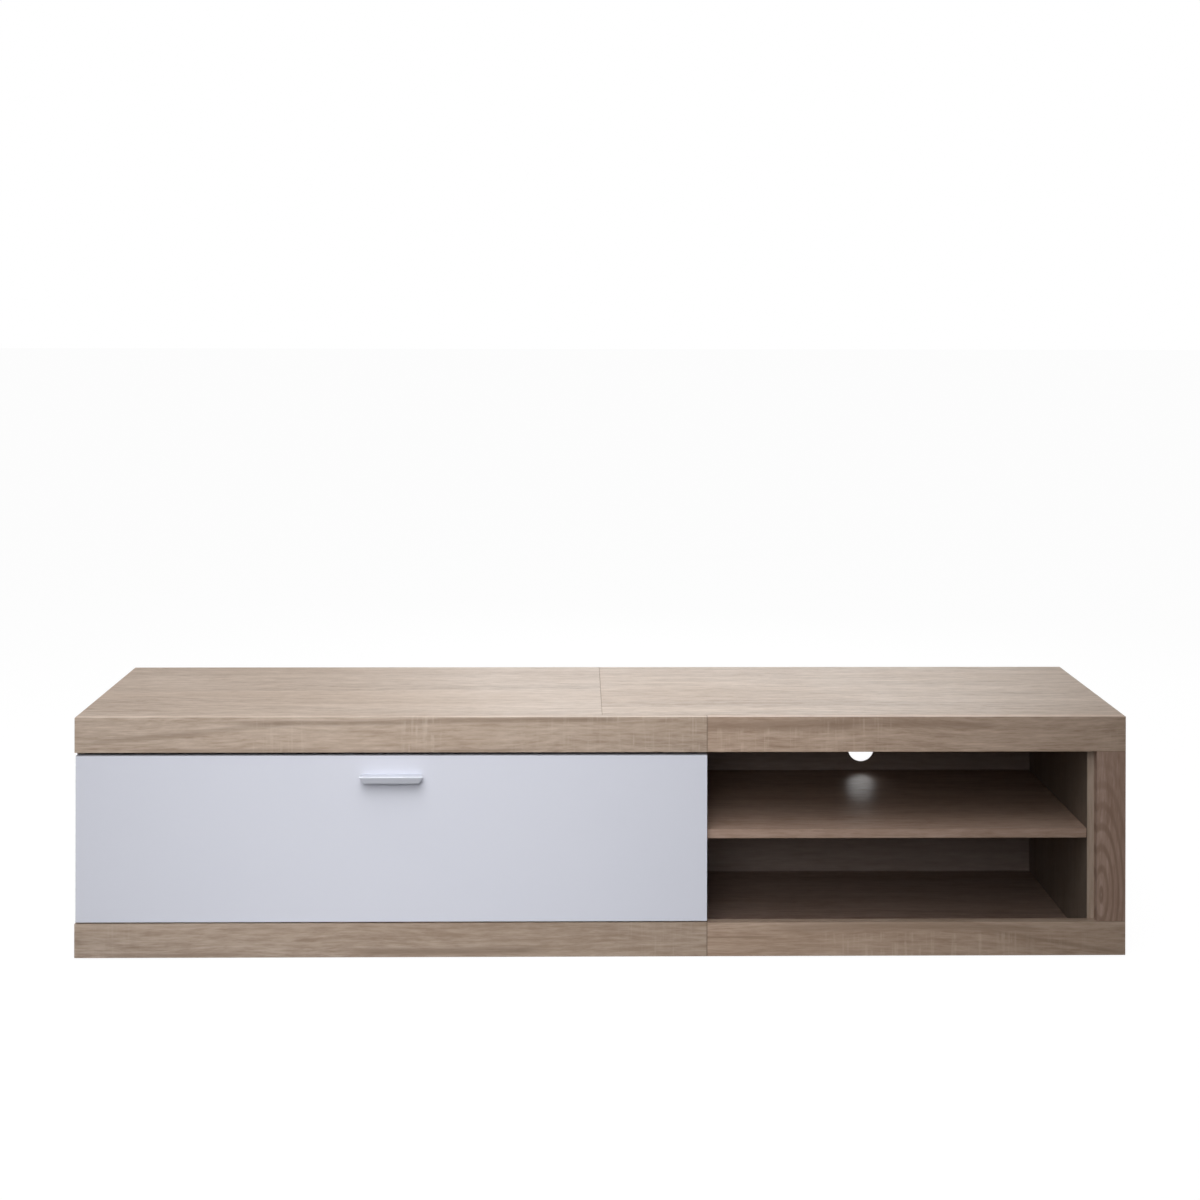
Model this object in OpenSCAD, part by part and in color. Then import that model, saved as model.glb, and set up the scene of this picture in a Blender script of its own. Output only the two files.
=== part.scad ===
// Low TV stand in light oak board: one wide drop-down flap on the left and an open two-tier bay on the right.
// Origin: middle of the whole box, on the floor. +X to the right, +Y to the back, +Z up.

/* [Cabinet] */
// Overall width
cabinet_w = 1800; // [1700:10:1900]
// Depth from the face of the fascias to the rear edge
cabinet_d = 420; // [400:5:450]
// Height of the wooden body above its glides
cabinet_h = 410; // [400:5:440]
// Thickness of every board
board = 16; // [16:0.5:17]
// Thickness of the back panels
back_t = 3; // [3:0.5:4]
// Distance from the rear edge of the top to the front of the back panels
back_recess = 13; // [10:1:20]
// Height of the glides under the body
glide_h = 3; // [2:0.5:5]

/* [Front] */
// Height of the top fascias
top_fascia_h = 60; // [50:1:70]
// Height of the bottom fascias
bottom_fascia_h = 58; // [50:1:70]
// Width of the closed bay, where the fascias are butted
closed_w = 1080; // [1040:10:1100]
// Width of the post at the right-hand end
post_w = 50; // [40:1:60]
// Width taken by the two side panels of the right-hand end
double_side_w = 62; // [56:1:70]

/* [Open bay] */
// Clear height under the shelf
under_shelf_h = 181; // [150:1:200]
// Diameter of the cable hole
cable_hole_d = 50; // [40:1:60]
// Height of the cable hole's centre above the shelf
cable_hole_rise = 41; // [38:1:60]

/* [Flap] */
// Gap above the flap
flap_top_gap = 5; // [3:0.5:6]
// Gap under the flap
flap_bottom_gap = 2.5; // [2.5:0.1:4]
// Reveal at the flap's left-hand edge
flap_side_gap = 2; // [1:0.5:3]
// Gap between the closed flap and the carcass behind it
flap_rest_gap = 1.5; // [1.5:0.1:2]

/* [Handle] */
// Width of the handle along its front lip
handle_w = 110; // [90:1:140]
// How far the handle stands out from the flap
handle_out = 20; // [18:1:26]
// Height of the handle's front lip
handle_lip_h = 12; // [8:0.5:16]
// Distance from the flap's upper edge to the handle's top
handle_drop = 32; // [20:0.5:60]

/* [Hinges] */
// Pivot's distance behind the flap's face and above its lower edge
pivot_inset = 5; // [5:0.1:5.2]
// Diameter of the hinge pins
hinge_pin_d = 3; // [2.6:0.1:3]

/* [Stays] */
// Distance from the hinge pivot to each end pivot of a stay
stay_reach = 200; // [180:1:205]
// Angle between those two pivots while the flap is closed
stay_spread = 30; // [26:1:34]
// Full opening angle of the flap
opening_angle = 90; // [80:1:90]

/* [Hidden] */
$fn = 48;

oak = "#c4ae9b";
oak_side = "#ab9584";
foil_white = "#cbd0dc";
steel = "#b9bcc0";
zinc = "#9a9da2";
nylon = "#e6e6e2";
rubber = "#d8d8d8";
beech = "#d9bd94";

// Outer faces and levels
front_y = (handle_out - cabinet_d) / 2;
left_x = -cabinet_w / 2;
right_x = cabinet_w / 2;
base_z = glide_h;
top_z = base_z + cabinet_h;
under_top_z = top_z - board;
floor_z = base_z + board;
top_fascia_z = top_z - top_fascia_h;
sill_z = base_z + bottom_fascia_h;

// Upright boards, by their left-hand faces, and the depths they start and end at
bay_x = left_x + board;
divider_x = left_x + closed_w - board;
open_x = left_x + closed_w;
inner_side_x = right_x - double_side_w;
outer_side_x = right_x - board;
carcass_d = board + flap_rest_gap;
back_d = cabinet_d - back_recess;
groove_d = 6;
groove_slack = 0.2;
shelf_z = floor_z + under_shelf_h;
shelf_slack = 0.5;
bay_mid_x = (bay_x + divider_x) / 2;
open_mid_x = (open_x + inner_side_x) / 2;

// Flap and its pivot, as a depth and a height
flap_x = [left_x + flap_side_gap, open_x];
flap_z = [sill_z + flap_bottom_gap, top_fascia_z - flap_top_gap];
pivot_d = pivot_inset;
pivot_z = flap_z[0] + pivot_inset;
hinge_count = 3;
hinge_edge = 110;
hinge_step = (divider_x - bay_x - 2 * hinge_edge) / (hinge_count - 1);
hinge_r = 2.7;
hinge_fit = 0.05;
notch_w = 22;
notch_h = 9;
skin_t = 1.8;

// Handle
handle_x = (flap_x[0] + flap_x[1]) / 2;
handle_z = flap_z[1] - handle_drop;
handle_t = 2.4;
handle_foot_t = 4.5;
handle_screw_gap = 64;

// Stay pivots, as [depth, height]
stay_pin_out = 12;
stay_lift = board + stay_pin_out - pivot_d;
stay_pin = [pivot_d + stay_lift, pivot_z + sqrt(stay_reach * stay_reach - stay_lift * stay_lift)];
stay_turn = atan2(stay_pin[1] - pivot_z, stay_pin[0] - pivot_d) - stay_spread;
stay_seat = [pivot_d + stay_reach * cos(stay_turn), pivot_z + stay_reach * sin(stay_turn)];
stay_slope = atan2(stay_seat[1] - stay_pin[1], stay_seat[0] - stay_pin[0]);
stay_chord = 2 * stay_reach * sin((stay_spread + opening_angle) / 2);
stay_bar = [2.5, 8];
guide_size = [11, 16, 15];
stay_bar_x = bay_x + 8;

// Fasteners
cam_r = 7.5;
cam_deep = 12.5;
cam_setback = 34;
cam_bolt_r = 3;
cam_bolt_grip = 11;
cam_depths = [70, 340];
dowel_r = 4;
dowel_half = 15;
screw_r = 1.5;
screw_head_r = 3;
glide_r = 7.5;
rail_w = 60;
rail_depths = [carcass_d, cabinet_d - 90];

function at_depth(d) = front_y + d;
function hinge_x(i) = bay_x + hinge_edge + i * hinge_step;
// Evenly spaced places, inset from both ends of a span
function spread(from, to, inset, count) =
    [for (i = [0 : count - 1]) from + inset + i * (to - from - 2 * inset) / (count - 1)];

// ---- Shapes given by their extents: x, depth behind the front, z ----

module block(x, d, z) {
    translate([x[0], at_depth(d[0]), z[0]])
        cube([x[1] - x[0], d[1] - d[0], z[1] - z[0]]);
}

module rod_x(x, d, z, r) {
    translate([min(x), at_depth(d), z])
        rotate([0, 90, 0])
            cylinder(h = abs(x[1] - x[0]), r = r);
}

module rod_y(x, d, z, r) {
    translate([x, at_depth(d[0]), z])
        rotate([-90, 0, 0])
            cylinder(h = d[1] - d[0], r = r);
}

module rod_z(x, d, z, r) {
    translate([x, at_depth(d), z[0]])
        cylinder(h = z[1] - z[0], r = r);
}

// The same fitting at the other end of the closed bay
module other_end() {
    translate([2 * bay_mid_x, 0, 0])
        mirror([1, 0, 0])
            children();
}

// ---- Fasteners, used both as pieces and as the holes that hold them ----

// Joints of the top: middle of the upright, face the cam enters, and the way it goes in
top_joints = [
    [left_x + board / 2, bay_x, -1],
    [divider_x + board / 2, divider_x, 1],
    [inner_side_x + board / 2, inner_side_x + board, -1],
    [right_x - board / 2, outer_side_x, 1]
];
// Joints of the floor: end of the panel, the way into it, and a shift that keeps the divider's bolts apart
floor_joints = [[bay_x, 1, 0], [divider_x, -1, 0], [open_x, 1, -20], [inner_side_x, -1, -20]];

module cam_bodies() {
    for (j = top_joints, d = cam_depths)
        rod_x([j[1], j[1] + j[2] * cam_deep], d, under_top_z - cam_setback, cam_r);
    for (j = floor_joints, d = cam_depths)
        rod_z(j[0] + j[1] * cam_setback, d + j[2], [base_z, base_z + cam_deep], cam_r);
}

module cam_bolt_bodies() {
    for (j = top_joints, d = cam_depths)
        rod_z(j[0], d, [under_top_z - cam_setback, under_top_z + cam_bolt_grip], cam_bolt_r);
    for (j = floor_joints, d = cam_depths)
        rod_x([j[0] - j[1] * cam_bolt_grip, j[0] + j[1] * cam_setback], d + j[2], base_z + board / 2, cam_bolt_r);
}

module dowel_bodies() {
    for (x = concat(spread(left_x, open_x, 60, 4), spread(open_x, inner_side_x, 60, 3))) {
        rod_y(x, [board / 2, board / 2 + 2 * dowel_half], under_top_z + board / 2, dowel_r);
        rod_y(x, [board / 2, x < open_x ? 3 * board : 2.5 * board], base_z + board / 2, dowel_r);
    }
    for (z = [top_fascia_z, sill_z])
        rod_z(right_x - post_w / 2, board / 2, [z - dowel_half, z + dowel_half], dowel_r);
    for (d = [110, 300])
        rod_x([inner_side_x - 20, inner_side_x + 10], d, base_z + board / 2, dowel_r);
    for (x = [bay_x, divider_x], d = rail_depths)
        rod_x(x == bay_x ? [x - 10, x + 20] : [x - 20, x + 10], d + rail_w / 2, under_top_z - board / 2, dowel_r);
    for (x = [bay_x, divider_x])
        rod_x(x == bay_x ? [x - 10, x + 20] : [x - 20, x + 10], board * 1.5, (floor_z + sill_z) / 2, dowel_r);
}

module rail_screw_bodies() {
    for (d = rail_depths, x = spread(bay_x, divider_x, 90, 6)) {
        rod_z(x, d + rail_w / 2, [under_top_z - board, under_top_z + 10], screw_r);
        rod_z(x, d + rail_w / 2, [under_top_z - board - 2, under_top_z - board], screw_head_r);
    }
}

module back_screw_bodies() {
    rear = back_d + back_t;
    uprights = [divider_x + board / 4, divider_x + board * 3 / 4, inner_side_x + board / 2];
    for (x = uprights, z = [110, 300]) {
        rod_y(x, [rear - 18, rear], z, screw_r);
        rod_y(x, [rear, rear + 1.5], z, screw_head_r);
    }
    for (x = concat(spread(bay_x, divider_x, 90, 4), spread(open_x, outer_side_x, 90, 3))) {
        rod_y(x, [rear - 18, rear], base_z + board / 2, screw_r);
        rod_y(x, [rear, rear + 1.5], base_z + board / 2, screw_head_r);
    }
}

shelf_pin_r = 2.5;
module shelf_pin_bodies() {
    for (d = [60, 360]) {
        rod_x([open_x - 7, open_x + 9], d, shelf_z - shelf_pin_r, shelf_pin_r);
        rod_x([inner_side_x - 9, inner_side_x + 7], d, shelf_z - shelf_pin_r, shelf_pin_r);
    }
}

glide_places = [for (x = [left_x + board / 2, bay_mid_x, divider_x + board / 2, right_x - board / 2],
                     d = [45, back_d - 30]) [x, d]];
module glide_nails() {
    for (p = glide_places)
        rod_z(p[0], p[1], [base_z, base_z + 10], 1);
}

// Grooves that the back panels slide into
module back_grooves() {
    block([bay_x - groove_d, outer_side_x + groove_d],
          [back_d - groove_slack, back_d + back_t + groove_slack],
          [base_z - 1, under_top_z + groove_d]);
}

module all_carcass_holes() {
    cam_bodies();
    cam_bolt_bodies();
    dowel_bodies();
    shelf_pin_bodies();
    glide_nails();
    back_screw_bodies();
    rail_screw_bodies();
}

// ---- Carcass ----

module oak_board(x, d, z, tint = oak) {
    color(tint)
        difference() {
            block(x, d, z);
            all_carcass_holes();
        }
}

module top_panel(x) {
    color(oak)
        difference() {
            block(x, [board, cabinet_d], [under_top_z, top_z]);
            all_carcass_holes();
            back_grooves();
        }
}

module top_panel_left() {
    top_panel([left_x, 0]);
}

module top_panel_right() {
    top_panel([0, right_x]);
}

module outer_side(x, d) {
    color(oak_side)
        difference() {
            block(x, [d, cabinet_d], [base_z, under_top_z]);
            all_carcass_holes();
            back_grooves();
            stay_plate_screw_bodies();
            catch_screw_bodies();
        }
}

module side_panel_left() {
    outer_side([left_x, bay_x], carcass_d);
}

module side_panel_right() {
    outer_side([outer_side_x, right_x], board);
}

module divider_panel() {
    color(oak_side)
        difference() {
            block([divider_x, open_x], [carcass_d, back_d], [base_z, under_top_z]);
            all_carcass_holes();
            stay_plate_screw_bodies();
            catch_screw_bodies();
        }
}

module inner_side_panel_right() {
    oak_board([inner_side_x, inner_side_x + board], [board, back_d], [base_z, under_top_z], oak_side);
}

module bottom_panel_left() {
    oak_board([bay_x, divider_x], [2 * board, back_d], [base_z, floor_z]);
}

module bottom_panel_right() {
    oak_board([open_x, inner_side_x], [board, back_d], [base_z, floor_z]);
}

module shelf() {
    color(oak)
        block([open_x + shelf_slack, inner_side_x - shelf_slack], [board + 1, back_d - 1], [shelf_z, shelf_z + board]);
}

module back_panel(x, hole) {
    color(oak_side)
        difference() {
            block(x, [back_d, back_d + back_t], [base_z + 2, under_top_z + groove_d - 0.5]);
            back_screw_bodies();
            if (hole)
                rod_y(open_mid_x, [back_d - 1, back_d + back_t + 1],
                      shelf_z + board + cable_hole_rise, cable_hole_d / 2);
        }
}

module back_panel_left() {
    back_panel([bay_x - groove_d + 0.5, divider_x + board / 2], false);
}

module back_panel_right() {
    back_panel([divider_x + board / 2, outer_side_x + groove_d - 0.5], true);
}

module top_fascia_left() {
    oak_board([left_x, open_x], [0, board], [top_fascia_z, top_z]);
}

module top_fascia_right() {
    oak_board([open_x, right_x], [0, board], [top_fascia_z, top_z]);
}

module bottom_fascia_left() {
    oak_board([left_x, open_x], [0, board], [base_z, sill_z]);
}

module bottom_fascia_right() {
    oak_board([open_x, right_x], [0, board], [base_z, sill_z]);
}

module right_post() {
    oak_board([right_x - post_w, right_x], [0, board], [sill_z, top_fascia_z], oak_side);
}

module top_rail_front() {
    oak_board([bay_x, divider_x], [rail_depths[0], rail_depths[0] + rail_w], [under_top_z - board, under_top_z]);
}

module top_rail_rear() {
    oak_board([bay_x, divider_x], [rail_depths[1], rail_depths[1] + rail_w], [under_top_z - board, under_top_z]);
}

// Rail between the bottom fascia and the floor, which carries the hinge arms
module hinge_rail() {
    color(oak_side)
        difference() {
            block([bay_x, divider_x], [board, 2 * board], [base_z, sill_z]);
            dowel_bodies();
            hinge_arm_screw_bodies();
        }
}

// Blocks that hold the two right-hand side panels apart
module side_spacers() {
    color(beech)
        for (d = [100, 290], z = [60, 190, 320])
            block([inner_side_x + board, outer_side_x], [d, d + 20], [z, z + 24]);
}

// ---- Flap and handle ----

module flap() {
    color(foil_white)
        difference() {
            block(flap_x, [0, board], flap_z);
            for (i = [0 : hinge_count - 1])
                block([hinge_x(i) - notch_w / 2, hinge_x(i) + notch_w / 2],
                      [skin_t, board + 1],
                      [flap_z[0] - 1, flap_z[0] + notch_h]);
            hinge_leaf_screw_bodies();
            stay_bracket_screw_bodies();
            strike_screw_bodies();
            handle_screw_bodies();
        }
}

module flap_bumpers() {
    color(rubber)
        for (x = [bay_x - board / 2, open_x - board / 2], z = [120, flap_z[1] - 12])
            rod_y(x, [board, board + 1.2], z, 4);
}

// Lipped pull: a top plate that widens towards the front, a tapered lip and a foot on the flap
module handle() {
    back_w = handle_w - 10;
    lip_low_w = handle_w - 16;
    color(steel)
        difference() {
            union() {
                translate([handle_x, front_y, handle_z - handle_t])
                    linear_extrude(handle_t)
                        polygon([[-back_w / 2, 0], [back_w / 2, 0],
                                 [handle_w / 2, -handle_out], [-handle_w / 2, -handle_out]]);
                translate([handle_x, front_y - handle_out + handle_t, handle_z])
                    rotate([90, 0, 0])
                        linear_extrude(handle_t)
                            polygon([[-handle_w / 2, 0], [handle_w / 2, 0],
                                     [lip_low_w / 2, -handle_lip_h], [-lip_low_w / 2, -handle_lip_h]]);
                block([handle_x - back_w / 2, handle_x + back_w / 2], [-handle_foot_t, 0],
                      [handle_z - handle_lip_h, handle_z - handle_t]);
            }
            handle_screw_bodies();
        }
}

module handle_screw_bodies() {
    for (side = [-1, 1]) {
        x = handle_x + side * handle_screw_gap / 2;
        z = handle_z - (handle_lip_h + handle_t) / 2;
        rod_y(x, [-handle_foot_t + 1, board], z, 2);
        rod_y(x, [board, board + 2.2], z, 4);
    }
}

module handle_screws() {
    color(zinc)
        difference() {
            handle_screw_bodies();
            for (side = [-1, 1])
                screw_slot(handle_x + side * handle_screw_gap / 2, board + 1.2,
                           handle_z - (handle_lip_h + handle_t) / 2, 3);
        }
}

// Cross recess in a screw head that faces the back
module screw_slot(x, d, z, reach) {
    block([x - reach, x + reach], [d, d + 3], [z - 0.6, z + 0.6]);
    block([x - 0.6, x + 0.6], [d, d + 3], [z - reach, z + reach]);
}

// ---- Hinges ----

leaf_w = 44;
leaf_h = 26;
leaf_t = 1.4;
knuckle_w = 12;
ear_w = 3;
ear_gap = 0.4;

// Leaf on the flap's back, with two ears that hold the pin
module hinge_leaf(i) {
    x = hinge_x(i);
    plate_z = flap_z[0] + notch_h;
    color(zinc)
        difference() {
            union() {
                block([x - leaf_w / 2, x + leaf_w / 2], [board, board + leaf_t], [plate_z, plate_z + leaf_h]);
                for (side = [-1, 1]) {
                    inner = side * (knuckle_w / 2 + ear_gap);
                    outer = side * (knuckle_w / 2 + ear_gap + ear_w);
                    ear = [x + min(inner, outer), x + max(inner, outer)];
                    rod_x(ear, pivot_d, pivot_z, hinge_r);
                    block(ear, [pivot_d - hinge_r, board + leaf_t], [pivot_z, plate_z - 0.3]);
                    block(ear, [board, board + leaf_t], [pivot_z, plate_z + 4]);
                }
            }
            rod_x([x - leaf_w, x + leaf_w], pivot_d, pivot_z, hinge_pin_d / 2);
            hinge_leaf_screw_bodies();
        }
}

module hinge_leaf_screw_bodies() {
    for (i = [0 : hinge_count - 1], side = [-1, 1], up = [9, 20]) {
        rod_y(hinge_x(i) + side * 15, [board - 11, board + leaf_t], flap_z[0] + notch_h + up, screw_r);
        rod_y(hinge_x(i) + side * 15, [board + leaf_t, board + leaf_t + 1.4],
              flap_z[0] + notch_h + up, screw_head_r);
    }
}

// Arm on the hinge rail: a foot, a web and a strap that ends in the knuckle
module hinge_arm(i) {
    x = hinge_x(i);
    strap = [x - knuckle_w / 2, x + knuckle_w / 2];
    web_d = board + 2.5;
    color(zinc)
        difference() {
            union() {
                rod_x(strap, pivot_d, pivot_z, hinge_r);
                block(strap, [pivot_d, web_d + 2], [pivot_z - 1, pivot_z + 1]);
                block(strap, [web_d, web_d + 2], [sill_z, pivot_z + 1]);
                block([x - 18, x + 18], [web_d, 2 * board - 1], [sill_z, sill_z + 2]);
            }
            rod_x([x - leaf_w, x + leaf_w], pivot_d, pivot_z, hinge_pin_d / 2 + hinge_fit);
            hinge_arm_screw_bodies();
        }
}

module hinge_arm_screw_bodies() {
    for (i = [0 : hinge_count - 1], side = [-1, 1]) {
        rod_z(hinge_x(i) + side * 12.5, 1.5 * board + 1.5, [sill_z - 14, sill_z + 2], screw_r);
        rod_z(hinge_x(i) + side * 12.5, 1.5 * board + 1.5, [sill_z + 2, sill_z + 3.4], screw_head_r);
    }
}

module hinge_pin(i) {
    reach = knuckle_w / 2 + ear_gap + ear_w;
    color(steel)
        rod_x([hinge_x(i) - reach, hinge_x(i) + reach], pivot_d, pivot_z, hinge_pin_d / 2);
}

module hinge_leaf_1() {
    hinge_leaf(0);
}

module hinge_leaf_2() {
    hinge_leaf(1);
}

module hinge_leaf_3() {
    hinge_leaf(2);
}

module hinge_arm_1() {
    hinge_arm(0);
}

module hinge_arm_2() {
    hinge_arm(1);
}

module hinge_arm_3() {
    hinge_arm(2);
}

module hinge_pin_1() {
    hinge_pin(0);
}

module hinge_pin_2() {
    hinge_pin(1);
}

module hinge_pin_3() {
    hinge_pin(2);
}

module hinge_leaf_screws() {
    color(steel)
        hinge_leaf_screw_bodies();
}

module hinge_arm_screws() {
    color(steel)
        hinge_arm_screw_bodies();
}

// ---- Flap stays: a bar pinned to the flap slides through a guide that swivels on the side ----

stay_bore_r = 2;
seat_r = 3;

// Bracket on the flap's back with the pin that the bar turns on
module stay_bracket() {
    ear_x = [stay_bar_x + stay_bar[0] + 1, stay_bar_x + stay_bar[0] + 3];
    pin_d = stay_pin[0];
    pin_z = stay_pin[1];
    color(zinc)
        difference() {
            union() {
                block([ear_x[0], ear_x[1] + 22], [board, board + 2], [pin_z - 14, pin_z + 14]);
                block(ear_x, [board, pin_d], [pin_z - 9, pin_z + 9]);
                rod_x(ear_x, pin_d, pin_z, 9);
                rod_x([stay_bar_x - 1.4, ear_x[0]], pin_d, pin_z, stay_bore_r);
                rod_x([stay_bar_x - 1.4, stay_bar_x - 0.4], pin_d, pin_z, 3.6);
                rod_x([stay_bar_x + stay_bar[0] + 0.4, ear_x[0]], pin_d, pin_z, 3.6);
            }
            stay_bracket_screw_bodies();
        }
}

module stay_bracket_screw_body() {
    x = stay_bar_x + stay_bar[0] + 15;
    for (up = [-8, 8]) {
        rod_y(x, [board - 11, board + 2], stay_pin[1] + up, screw_r);
        rod_y(x, [board + 2, board + 3.4], stay_pin[1] + up, screw_head_r);
    }
}

module stay_bracket_screw_bodies() {
    stay_bracket_screw_body();
    other_end()
        stay_bracket_screw_body();
}

// Flat bar with an eye at the flap's pin and a wide stop at its tail
module stay_arm() {
    stop_at = stay_chord + guide_size[1] / 2 + 0.6;
    color(steel)
        difference() {
            union() {
                rod_x([stay_bar_x, stay_bar_x + stay_bar[0]], stay_pin[0], stay_pin[1], 6);
                translate([stay_bar_x, at_depth(stay_pin[0]), stay_pin[1]])
                    rotate([stay_slope, 0, 0]) {
                        translate([0, 0, -stay_bar[1] / 2])
                            cube([stay_bar[0], stop_at + 6, stay_bar[1]]);
                        translate([0, stop_at, -6.5])
                            cube([stay_bar[0], 6, 13]);
                    }
            }
            rod_x([stay_bar_x - 1, stay_bar_x + stay_bar[0] + 1], stay_pin[0], stay_pin[1], stay_bore_r + 0.05);
        }
}

// Guide block with a slot for the bar and a blind bore that turns on the side plate's stud
module stay_guide() {
    from_x = bay_x + 2.5;
    color(nylon)
        difference() {
            translate([from_x, at_depth(stay_seat[0]), stay_seat[1]])
                rotate([stay_slope, 0, 0])
                    translate([0, -guide_size[1] / 2, -guide_size[2] / 2])
                        cube(guide_size);
            translate([stay_bar_x - 0.3, at_depth(stay_seat[0]), stay_seat[1]])
                rotate([stay_slope, 0, 0])
                    translate([0, -guide_size[1], -stay_bar[1] / 2 - 0.4])
                        cube([stay_bar[0] + 0.6, 2 * guide_size[1], stay_bar[1] + 0.8]);
            rod_x([from_x - 1, from_x + 4], stay_seat[0], stay_seat[1], seat_r + 0.05);
        }
}

// Plate on the side panel with the guide's stud
module stay_plate() {
    d = stay_seat[0];
    z = stay_seat[1];
    color(zinc)
        difference() {
            union() {
                block([bay_x, bay_x + 1.6], [d - 13, d + 13], [z - 26, z + 26]);
                rod_x([bay_x, bay_x + 6], d, z, seat_r);
            }
            stay_plate_screw_bodies();
        }
}

module stay_plate_screw_body() {
    for (up = [-19, 19]) {
        rod_x([bay_x - 10, bay_x + 1.6], stay_seat[0], stay_seat[1] + up, screw_r);
        rod_x([bay_x + 1.6, bay_x + 2.8], stay_seat[0], stay_seat[1] + up, screw_head_r);
    }
}

module stay_plate_screw_bodies() {
    stay_plate_screw_body();
    other_end()
        stay_plate_screw_body();
}

module stay_bracket_left() {
    stay_bracket();
}

module stay_bracket_right() {
    other_end()
        stay_bracket();
}

module stay_arm_left() {
    stay_arm();
}

module stay_arm_right() {
    other_end()
        stay_arm();
}

module stay_guide_left() {
    stay_guide();
}

module stay_guide_right() {
    other_end()
        stay_guide();
}

module stay_plate_left() {
    stay_plate();
}

module stay_plate_right() {
    other_end()
        stay_plate();
}

module stay_bracket_screws() {
    color(steel)
        stay_bracket_screw_bodies();
}

module stay_plate_screws() {
    color(steel)
        stay_plate_screw_bodies();
}

// ---- Magnetic catches ----

catch_z = flap_z[1] - 28;
catch_d = board + 1.7;

module magnet_catch() {
    color(nylon)
        difference() {
            union() {
                block([bay_x, bay_x + 14], [catch_d + 1, catch_d + 34], [catch_z - 9, catch_z + 9]);
                block([bay_x + 3, bay_x + 11], [catch_d, catch_d + 1], [catch_z - 7, catch_z - 2]);
                block([bay_x + 3, bay_x + 11], [catch_d, catch_d + 1], [catch_z + 2, catch_z + 7]);
            }
            catch_screw_bodies();
        }
}

module catch_screw_body() {
    for (d = [catch_d + 10, catch_d + 26]) {
        rod_x([bay_x - 8, bay_x + 14], d, catch_z, screw_r);
        rod_x([bay_x + 12, bay_x + 14], d, catch_z, screw_head_r);
    }
}

module catch_screw_bodies() {
    catch_screw_body();
    other_end()
        catch_screw_body();
}

module magnet_catch_left() {
    magnet_catch();
}

module magnet_catch_right() {
    other_end()
        magnet_catch();
}

module strike_plate() {
    block([bay_x + 1, bay_x + 27], [board, board + 1.2], [catch_z - 8, catch_z + 8]);
}

module strike_screw_body() {
    rod_y(bay_x + 20, [board - 10, board + 1.2], catch_z, screw_r);
    rod_y(bay_x + 20, [board + 1.2, board + 2.4], catch_z, screw_head_r);
}

module strike_screw_bodies() {
    strike_screw_body();
    other_end()
        strike_screw_body();
}

// Plates that the magnets hold, each with the screw that fixes it
module strike_plates() {
    color(steel) {
        strike_plate();
        strike_screw_bodies();
        other_end()
            strike_plate();
    }
}

module catch_screws() {
    color(steel)
        catch_screw_bodies();
}

// ---- Small fittings ----

module shelf_pins() {
    color(zinc)
        shelf_pin_bodies();
}

// Each cam has a passage for the bolt's head and a cross recess for the screwdriver
module cam_locks() {
    color(zinc)
        difference() {
            cam_bodies();
            cam_bolt_bodies();
            for (j = top_joints, d = cam_depths)
                translate([j[1], at_depth(d), under_top_z - cam_setback])
                    cross_recess([2.4, 8, 1.4], [2.4, 1.4, 8]);
            for (j = floor_joints, d = cam_depths)
                translate([j[0] + j[1] * cam_setback, at_depth(d + j[2]), base_z])
                    cross_recess([8, 1.4, 2.4], [1.4, 8, 2.4]);
        }
}

module cross_recess(one, other) {
    cube(one, center = true);
    cube(other, center = true);
}

module cam_bolts() {
    color(steel)
        cam_bolt_bodies();
}

module dowels() {
    color(beech)
        dowel_bodies();
}

module rail_screws() {
    color(steel)
        rail_screw_bodies();
}

module back_screws() {
    color(steel)
        back_screw_bodies();
}

module glides() {
    color(nylon) {
        glide_nails();
        for (p = glide_places)
            rod_z(p[0], p[1], [0, base_z], glide_r);
    }
}

top_panel_left();
top_panel_right();
side_panel_left();
divider_panel();
inner_side_panel_right();
side_panel_right();
bottom_panel_left();
bottom_panel_right();
shelf();
back_panel_left();
back_panel_right();
top_fascia_left();
top_fascia_right();
bottom_fascia_left();
bottom_fascia_right();
right_post();
top_rail_front();
top_rail_rear();
hinge_rail();
side_spacers();
flap();
flap_bumpers();
handle();
handle_screws();
hinge_leaf_1();
hinge_leaf_2();
hinge_leaf_3();
hinge_arm_1();
hinge_arm_2();
hinge_arm_3();
hinge_pin_1();
hinge_pin_2();
hinge_pin_3();
hinge_leaf_screws();
hinge_arm_screws();
stay_bracket_left();
stay_bracket_right();
stay_arm_left();
stay_arm_right();
stay_guide_left();
stay_guide_right();
stay_plate_left();
stay_plate_right();
stay_bracket_screws();
stay_plate_screws();
magnet_catch_left();
magnet_catch_right();
strike_plates();
catch_screws();
shelf_pins();
cam_locks();
cam_bolts();
dowels();
rail_screws();
back_screws();
glides();
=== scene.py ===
"""Looks of a long low TV stand: light oak boards, a wide white drop-down flap and an open two-tier bay.

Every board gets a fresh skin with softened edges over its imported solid, the handle is folded from sheet, and the
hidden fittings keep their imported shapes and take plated, moulded and raw finishes.
"""
import logging
import math
from collections.abc import Sequence
from dataclasses import dataclass, replace
from enum import Enum, IntEnum
from functools import cache

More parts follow.
